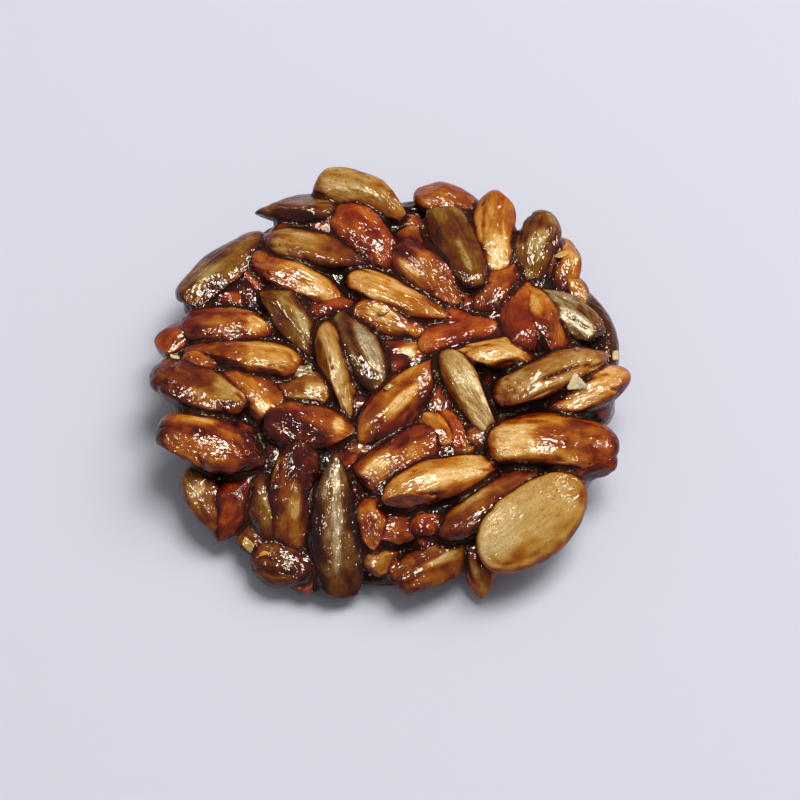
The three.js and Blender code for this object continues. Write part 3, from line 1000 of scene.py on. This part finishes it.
def add_bubbles(heap_points, material):
    """Burst bubbles in the glaze on top of the seeds."""
    triangles = closed_tube(*BUBBLE_MESH)
    meshes, film, local = [], [], []
    for index, (x, y, radius) in enumerate(BUBBLES):
        points = bubble_mesh(radius)
        meshes.append((points + [x, y, rest_height(heap_points, x, y)], triangles))
        film.append(np.full(len(points), BUBBLE_FILM))
        local.append(points + NOISE_STEP * index)
    add_glazed("bubbles", meshes, film, local, material)


def flake_mesh(flake, index):
    """Points and triangles of a thin curled plate with a few corners."""
    draws = np.random.default_rng(index)
    around = np.linspace(0, 2 * math.pi, FLAKE_SIDES, endpoint=False)
    step = 2 * math.pi / flake.corners
    from_middle = (around + FLAKE_TURN) % step - step / 2
    edge = math.cos(step / 2) / np.cos(from_middle) * draws.uniform(*FLAKE_RAGGED, FLAKE_SIDES)
    rings = []
    for share, height in FLAKE_PROFILE:
        x = share * edge * np.cos(around) * flake.length / 2
        y = share * edge * np.sin(around) * flake.width / 2
        curl = FLAKE_CURL * (x / flake.length) ** 2 * flake.length + FLAKE_WAVE * y * np.sin(FLAKE_WAVES * x)
        rings.append(np.stack([x, y, curl + height * FLAKE_THICKNESS / 2], -1))
    points = capped(rings, -FLAKE_THICKNESS / 2, FLAKE_THICKNESS / 2)
    return points, closed_tube(len(FLAKE_PROFILE), FLAKE_SIDES)


def add_flakes(heap_points, glazes):
    """Flakes of seed skin on top of the heap, one piece for each kind."""
    flakes = [Flake(*row) for row in FLAKES]
    for kind in KINDS:
        meshes, film, local = [], [], []
        for index, flake in enumerate(flakes):
            if flake.kind == kind:
                points, triangles = flake_mesh(flake, index)
                place = [flake.x, flake.y, rest_height(heap_points, flake.x, flake.y)]
                turned = points @ rotation(flake.heading, flake.pitch, flake.roll).T
                meshes.append((turned + place, triangles))
                film.append(np.full(len(points), flake.film))
                local.append(points + NOISE_STEP * index)
        if meshes:
            add_glazed("flakes_" + kind, meshes, film, local, glazes[kind])


def add_drops(places, material):
    """Small drops of caramel in the gaps."""
    rings, sides = DROP_MESH
    turn, around = tube_turns(rings, sides)
    height = np.broadcast_to(-np.cos(turn), (rings, sides))
    ball = np.stack([np.sin(turn) * np.cos(around), np.sin(turn) * np.sin(around), height], -1)
    ball = capped(ball, -1, 1)
    meshes = []
    for index, place in enumerate(places):
        radius = between(*DROP_RADIUS, spread(index, 2) ** 2)
        meshes.append((ball * radius * DROP_SHAPE + place, closed_tube(rings, sides)))
    points, triangles = joined(meshes)
    add_piece("caramel_drops", points, triangles, material, np.tile(DROP_TINT, (len(points), 1)))


def add_crumbs(places, material):
    """Crumbs of seed in the gaps, made as very small seeds."""
    rings, sides = CRUMB_MESH
    meshes, film, local = [], [], []
    for index, place in enumerate(places):
        length = between(*CRUMB_LENGTH, spread(index, 3))
        turned = (360 * spread(index, 4), varied(0.0, CRUMB_TIP, index, 5), 360 * spread(index, 6))
        width = length * between(*CRUMB_WIDTH, spread(index, 7))
        crumb = Seed(*(place + [0, 0, CRUMB_RISE]), *turned, length, width, "blunt")
        points, own = seed_mesh(crumb, CRUMB_FIRST + index, rings, sides)
        meshes.append((points, closed_tube(rings, sides)))
        film.append(np.full(len(points), CRUMB_FILM * spread(index, 8)))
        local.append(own + NOISE_STEP * index)
    add_glazed("crumbs", meshes, film, local, material)


def add_seeds(seeds, meshes, crease, contact, glazes):
    """The seeds, one piece for each kind of skin, with the film that each point has, painted shade and
    painted highlight included.
    """
    for kind in KINDS:
        chosen, film, local = [], [], []
        for index, seed in enumerate(seeds):
            if seed.kind == kind:
                points, own, triangles = meshes[index]
                facing = upward(points, triangles)
                chosen.append((points, triangles))
                film.append(seed_film_shade_and_highlight(seed, index, own, facing, crease[index], contact[index]))
                local.append(own + NOISE_STEP * index)
        if chosen:
            add_glazed("seeds_" + kind, chosen, film, local, glazes[kind])


def build_brittle():
    """Every piece of the brittle: the caramel fills between the seeds, and small things lie on both."""
    shown = [Seed(*row) for row in TOP_SEEDS] + [wall_seed(i) for i in range(WALL_SEEDS)]
    hidden = [sunflower_seed(rule, i) for rule in (DEEP, UNDER) for i in range(rule.count)]
    hidden += [wall_seed(-1 - WALL_GAP - i) for i in range(RIGHT_WALL_SEEDS)]
    seeds = shown + hidden
    meshes = []
    for index, seed in enumerate(seeds):
        rings, sides = SHOWN_MESH if index < len(shown) else HIDDEN_MESH
        points, local = seed_mesh(seed, index, rings, sides)
        meshes.append((points, local, closed_tube(rings, sides)))
    seed_heap = joined([(points, triangles) for points, _, triangles in meshes])
    heap = joined([seed_heap, core_mesh()])
    crease_grid = grown(heap, CREASE_REACH, CREASE_REACH + CREASE_BAND)
    contact_grid = grown(heap, CONTACT_REACH, CONTACT_REACH + CONTACT_BAND)

    caramel = caramel_material()
    glazes = {kind: glazed_seed_material(kind) for kind in KINDS}
    caramel_points, caramel_quads, shut_in = add_caramel(heap, crease_grid, caramel)
    shown_points = np.concatenate([points for points, _, _ in meshes[: len(shown)]])
    add_bubbles(shown_points, glazes["amber"])
    add_flakes(np.concatenate([shown_points, caramel_points]), glazes)
    gaps = (shut_in > GAP_SHUT_IN) & (upward(caramel_points, caramel_quads[:, :3]) > GAP_UPWARD)
    gaps &= caramel_points[:, 2] > GAP_HEIGHT
    add_drops(scattered(caramel_points, gaps, DROPS, DROPS_APART, DROPS_DRAW), caramel)
    add_crumbs(scattered(caramel_points, gaps, CRUMBS, CRUMBS_APART, CRUMBS_DRAW), glazes["amber"])

    starts = np.cumsum([len(points) for points, _, _ in meshes])[:-1]
    crease = np.split(distance(crease_grid, seed_heap[0]), starts)
    contact = np.split(distance(contact_grid, seed_heap[0]), starts)
    add_seeds(seeds, meshes, crease, contact, glazes)


def add_floor():
    """A plain pale floor."""
    bpy.ops.mesh.primitive_plane_add(size=FLOOR_SIZE)
    floor = bpy.context.object
    floor.name = "floor"
    material, tree = new_material("floor")
    values = {"Base Color": FLOOR_COLOUR, "Roughness": FLOOR_ROUGHNESS, "Specular IOR Level": FLOOR_GLOSS}
    set_shader(tree, values)
    floor.data.materials.append(material)


def add_light(name, place, size, watts, shades):
    """An area light that faces the brittle, and either shades or only glints."""
    data = bpy.data.lights.new(name, "AREA")
    data.size = size
    data.energy = watts
    data.color = SHADING_COLOUR if shades else GLINT_COLOUR
    light = bpy.data.objects.new(name, data)
    light.visible_diffuse = shades
    light.visible_glossy = not shades
    light.location = place
    light.rotation_euler = (-Vector(place)).to_track_quat("-Z", "Y").to_euler()
    bpy.context.scene.collection.objects.link(light)


def add_studio():
    """Soft light from all round, the lights, and a plain view of colours."""
    world = bpy.data.worlds.new("studio")
    world.use_nodes = True
    background = world.node_tree.nodes["Background"]
    background.inputs["Color"].default_value = WORLD_COLOUR
    background.inputs["Strength"].default_value = WORLD_STRENGTH
    bpy.context.scene.world = world
    for light in SHADING_LIGHTS:
        add_light(*light, shades=True)
    for light in GLINT_LIGHTS:
        add_light(*light, shades=False)
    bpy.context.scene.view_settings.view_transform = "Standard"


def add_camera():
    """The photograph's view: 60 degrees down, 8 pixels to the millimetre at the seeds."""
    tilt = math.radians(CAMERA_TILT)
    data = bpy.data.cameras.new("camera")
    data.lens = CAMERA_LENS
    data.sensor_width = CAMERA_SENSOR
    data.clip_start = CAMERA_CLIP
    camera = bpy.data.objects.new("camera", data)
    away = Vector((0, -math.cos(tilt), math.sin(tilt))) * (CAMERA_AWAY * MM)
    camera.location = Vector(CAMERA_TARGET) * MM + away
    camera.rotation_euler = (math.pi / 2 - tilt, 0, 0)
    bpy.context.scene.collection.objects.link(camera)
    bpy.context.scene.camera = camera


build_brittle()
add_floor()
add_studio()
add_camera()
